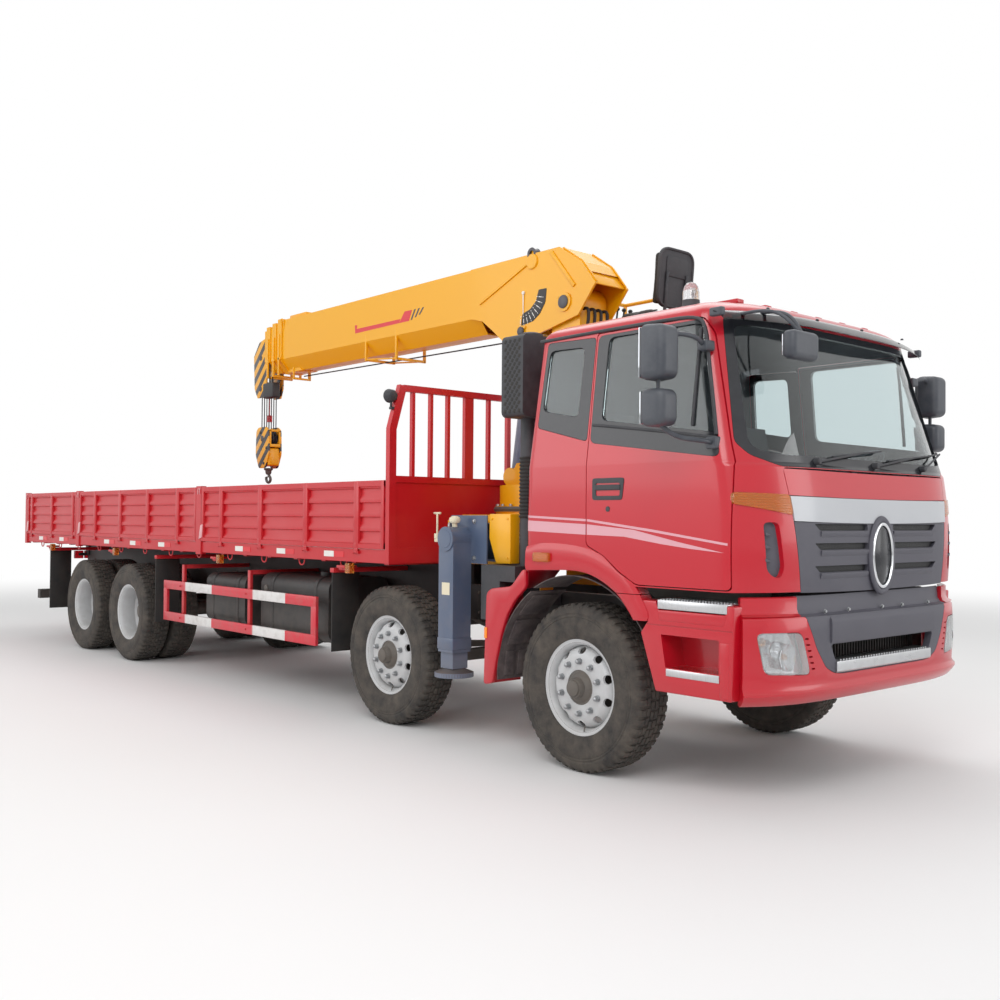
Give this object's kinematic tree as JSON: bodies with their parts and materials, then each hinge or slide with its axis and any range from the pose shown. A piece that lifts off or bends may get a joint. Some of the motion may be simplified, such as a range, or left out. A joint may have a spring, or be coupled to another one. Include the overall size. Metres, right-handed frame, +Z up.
{
  "type": "four-axle dropside lorry with telescopic boom crane",
  "caption": "Cab-over dropside lorry with a slewing telescopic boom crane and outriggers between the tilting cab and the flat load bed.",
  "frame": {"origin": "on the ground, below the middle of the lorry's length and width", "axes": "+X forward along the lorry, +Y to its left, +Z up"},
  "size_m": [11.98, 3.28, 3.8198],
  "materials": {
    "cab_red": "gloss red cab enamel",
    "bed_red": "semi-gloss red enamel on steel boards",
    "crane_yellow": "gloss golden yellow enamel",
    "outrigger_grey": "blue-grey enamel",
    "beam_grey": "dark grey enamel",
    "chassis_black": "satin black chassis paint",
    "guard_red": "red painted guards with white bands",
    "rim_silver": "silver wheel enamel",
    "tyre": "dusty black rubber",
    "window_glass": "clear tinted glass",
    "black_plastic": "grained black plastic",
    "grey_panel": "dark grey front grille",
    "cab_trim": "grey interior plastic and cloth",
    "rod_chrome": "hard chromed rod",
    "seat_black": "black vinyl seat"
  },
  "bodies": {
    "chassis": {"chassis_frame": "chassis_black", "axles_and_springs": "chassis_black", "engine_and_driveline": "chassis_black", "tanks": "chassis_black", "front_bumper": "cab_red", "wheel_guards_and_steps": "guard_red", "crane_base": "crane_yellow", "bed_base": "bed_red", "headboard": "bed_red", "air_intake": "black_plastic"},
    "cab": {"cab_shell": "cab_red", "cab_glass": "window_glass", "front_panel": "grey_panel", "cab_interior": "cab_trim"},
    "right_door": {"door_right": "cab_red", "door_glass_right": "window_glass", "mirror_right": "black_plastic"},
    "right_outrigger_beam": {"outrigger_beam_right": "outrigger_grey"},
    "right_outrigger_foot": {"outrigger_foot_right": "outrigger_grey"},
    "right_front_board": {"right_board_front": "bed_red"},
    "right_middle_board": {"right_board_middle": "bed_red"},
    "right_rear_board": {"right_board_rear": "bed_red"},
    "knuckle_right_1": {"steering_knuckle_right_1": "chassis_black"},
    "wheel_right_1": {"rim_right_1": "rim_silver", "tyre_right_1": "tyre"},
    "knuckle_right_2": {"steering_knuckle_right_2": "chassis_black"},
    "wheel_right_2": {"rim_right_2": "rim_silver", "tyre_right_2": "tyre"},
    "twin_wheels_right_3": {"rims_right_3": "rim_silver", "tyres_right_3": "tyre"},
    "twin_wheels_right_4": {"rims_right_4": "rim_silver", "tyres_right_4": "tyre"},
    "left_door": {"door_left": "cab_red", "door_glass_left": "window_glass", "mirror_left": "black_plastic"},
    "left_outrigger_beam": {"outrigger_beam_left": "outrigger_grey"},
    "left_outrigger_foot": {"outrigger_foot_left": "outrigger_grey"},
    "left_front_board": {"left_board_front": "bed_red"},
    "left_middle_board": {"left_board_middle": "bed_red"},
    "left_rear_board": {"left_board_rear": "bed_red"},
    "knuckle_left_1": {"steering_knuckle_left_1": "chassis_black"},
    "wheel_left_1": {"rim_left_1": "rim_silver", "tyre_left_1": "tyre"},
    "knuckle_left_2": {"steering_knuckle_left_2": "chassis_black"},
    "wheel_left_2": {"rim_left_2": "rim_silver", "tyre_left_2": "tyre"},
    "twin_wheels_left_3": {"rims_left_3": "rim_silver", "tyres_left_3": "tyre"},
    "twin_wheels_left_4": {"rims_left_4": "rim_silver", "tyres_left_4": "tyre"},
    "tail_board": {"tailgate": "bed_red"},
    "slewing_column": {"crane_column": "crane_yellow", "operator_seat": "seat_black"},
    "boom_root": {"boom_base": "crane_yellow"},
    "boom_second": {"boom_section_2": "crane_yellow"},
    "boom_third": {"boom_section_3": "crane_yellow"},
    "boom_head": {"boom_tip": "crane_yellow"},
    "hook": {"hook_block": "crane_yellow"},
    "lift_barrel": {"lift_cylinder_barrel": "outrigger_grey"},
    "lift_rod": {"lift_cylinder_rod": "rod_chrome"}
  },
  "joints": [
    {"name": "cab_tilt", "type": "hinge", "parent": "chassis", "child": "cab", "pos_m": [5.88, 0, 1.075], "axis": [0, 1, 0], "range_deg": [0, 45]},
    {"name": "right_door_swing", "type": "hinge", "parent": "cab", "child": "right_door", "pos_m": [5.762, -1.231, 1.6], "axis": [0, 0, 1], "range_deg": [0, 70]},
    {"name": "right_front_board_drop", "type": "hinge", "parent": "chassis", "child": "right_front_board", "pos_m": [0, -1.2475, 1.345], "axis": [1, 0, 0], "range_deg": [0, 170]},
    {"name": "right_middle_board_drop", "type": "hinge", "parent": "chassis", "child": "right_middle_board", "pos_m": [0, -1.2475, 1.345], "axis": [1, 0, 0], "range_deg": [0, 170]},
    {"name": "right_rear_board_drop", "type": "hinge", "parent": "chassis", "child": "right_rear_board", "pos_m": [0, -1.2475, 1.345], "axis": [1, 0, 0], "range_deg": [0, 170]},
    {"name": "steer_right_1", "type": "hinge", "parent": "chassis", "child": "knuckle_right_1", "pos_m": [4.49, -0.87, 0.542], "axis": [0, 0, 1], "range_deg": [-32, 32]},
    {"name": "spin_right_1", "type": "hinge", "parent": "knuckle_right_1", "child": "wheel_right_1", "pos_m": [4.49, -1.015, 0.542], "axis": [0, 1, 0], "continuous": true},
    {"name": "steer_right_2", "type": "hinge", "parent": "chassis", "child": "knuckle_right_2", "pos_m": [2.39, -0.87, 0.542], "axis": [0, 0, 1], "range_deg": [-23, 23]},
    {"name": "spin_right_2", "type": "hinge", "parent": "knuckle_right_2", "child": "wheel_right_2", "pos_m": [2.39, -1.015, 0.542], "axis": [0, 1, 0], "continuous": true},
    {"name": "spin_right_3", "type": "hinge", "parent": "chassis", "child": "twin_wheels_right_3", "pos_m": [-2.52, -0.93, 0.542], "axis": [0, 1, 0], "continuous": true},
    {"name": "spin_right_4", "type": "hinge", "parent": "chassis", "child": "twin_wheels_right_4", "pos_m": [-3.865, -0.93, 0.542], "axis": [0, 1, 0], "continuous": true},
    {"name": "left_door_swing", "type": "hinge", "parent": "cab", "child": "left_door", "pos_m": [5.762, 1.231, 1.6], "axis": [0, 0, -1], "range_deg": [0, 70]},
    {"name": "left_front_board_drop", "type": "hinge", "parent": "chassis", "child": "left_front_board", "pos_m": [0, 1.2475, 1.345], "axis": [-1, 0, 0], "range_deg": [0, 170]},
    {"name": "left_middle_board_drop", "type": "hinge", "parent": "chassis", "child": "left_middle_board", "pos_m": [0, 1.2475, 1.345], "axis": [-1, 0, 0], "range_deg": [0, 170]},
    {"name": "left_rear_board_drop", "type": "hinge", "parent": "chassis", "child": "left_rear_board", "pos_m": [0, 1.2475, 1.345], "axis": [-1, 0, 0], "range_deg": [0, 170]},
    {"name": "steer_left_1", "type": "hinge", "parent": "chassis", "child": "knuckle_left_1", "pos_m": [4.49, 0.87, 0.542], "axis": [0, 0, 1], "range_deg": [-32, 32]},
    {"name": "spin_left_1", "type": "hinge", "parent": "knuckle_left_1", "child": "wheel_left_1", "pos_m": [4.49, 1.015, 0.542], "axis": [0, 1, 0], "continuous": true},
    {"name": "steer_left_2", "type": "hinge", "parent": "chassis", "child": "knuckle_left_2", "pos_m": [2.39, 0.87, 0.542], "axis": [0, 0, 1], "range_deg": [-23, 23]},
    {"name": "spin_left_2", "type": "hinge", "parent": "knuckle_left_2", "child": "wheel_left_2", "pos_m": [2.39, 1.015, 0.542], "axis": [0, 1, 0], "continuous": true},
    {"name": "spin_left_3", "type": "hinge", "parent": "chassis", "child": "twin_wheels_left_3", "pos_m": [-2.52, 0.93, 0.542], "axis": [0, 1, 0], "continuous": true},
    {"name": "spin_left_4", "type": "hinge", "parent": "chassis", "child": "twin_wheels_left_4", "pos_m": [-3.865, 0.93, 0.542], "axis": [0, 1, 0], "continuous": true},
    {"name": "tailgate_drop", "type": "hinge", "parent": "chassis", "child": "tail_board", "pos_m": [-5.9775, 0, 1.345], "axis": [0, -1, 0], "range_deg": [0, 170]},
    {"name": "crane_slew", "type": "hinge", "parent": "chassis", "child": "slewing_column", "pos_m": [3.04, 0, 1.7], "axis": [0, 0, 1], "continuous": true},
    {"name": "boom_lift", "type": "hinge", "parent": "slewing_column", "child": "boom_root", "pos_m": [3.38, 0, 3.32], "axis": [0, 1, 0], "range_deg": [0, 75]},
    {"name": "boom_extend_2", "type": "slide", "parent": "boom_root", "child": "boom_second", "axis": [-1, 0, 0], "range_m": [0, 2.9]},
    {"name": "boom_extend_3", "type": "slide", "parent": "boom_second", "child": "boom_third", "axis": [-1, 0, 0], "range_m": [0, 2.9]},
    {"name": "boom_extend_4", "type": "slide", "parent": "boom_third", "child": "boom_head", "axis": [-1, 0, 0], "range_m": [0, 2.9]},
    {"name": "hook_swing", "type": "hinge", "parent": "boom_head", "child": "hook", "pos_m": [-1.57, 0, 3.07], "axis": [0, -1, 0], "range_deg": [-15, 80]},
    {"name": "lift_cylinder_swing", "type": "hinge", "parent": "slewing_column", "child": "lift_barrel", "pos_m": [2.7, 0, 1.97], "axis": [0, 1, 0], "range_deg": [0, 4]},
    {"name": "lift_cylinder_stroke", "type": "slide", "parent": "lift_barrel", "child": "lift_rod", "axis": [0.159, 0, 0.9873], "range_m": [0, 0.65]},
    {"name": "right_outrigger_out", "type": "slide", "parent": "chassis", "child": "right_outrigger_beam", "axis": [0, -1, 0], "range_m": [0, 1.3]},
    {"name": "right_outrigger_down", "type": "slide", "parent": "right_outrigger_beam", "child": "right_outrigger_foot", "axis": [0, 0, -1], "range_m": [0, 0.45]},
    {"name": "left_outrigger_out", "type": "slide", "parent": "chassis", "child": "left_outrigger_beam", "axis": [0, 1, 0], "range_m": [0, 1.3]},
    {"name": "left_outrigger_down", "type": "slide", "parent": "left_outrigger_beam", "child": "left_outrigger_foot", "axis": [0, 0, -1], "range_m": [0, 0.45]}
  ],
  "couplings": [
    {"joint": "steer_left_1", "follows": "steer_right_1", "ratio": 1},
    {"joint": "steer_right_2", "follows": "steer_right_1", "ratio": 0.7},
    {"joint": "steer_left_2", "follows": "steer_right_1", "ratio": 0.7},
    {"joint": "boom_extend_3", "follows": "boom_extend_2", "ratio": 1},
    {"joint": "boom_extend_4", "follows": "boom_extend_2", "ratio": 1},
    {"joint": "lift_cylinder_swing", "follows": "boom_lift", "ratio": 0.044},
    {"joint": "lift_cylinder_stroke", "follows": "boom_lift", "m_per_rad": 0.481}
  ]
}
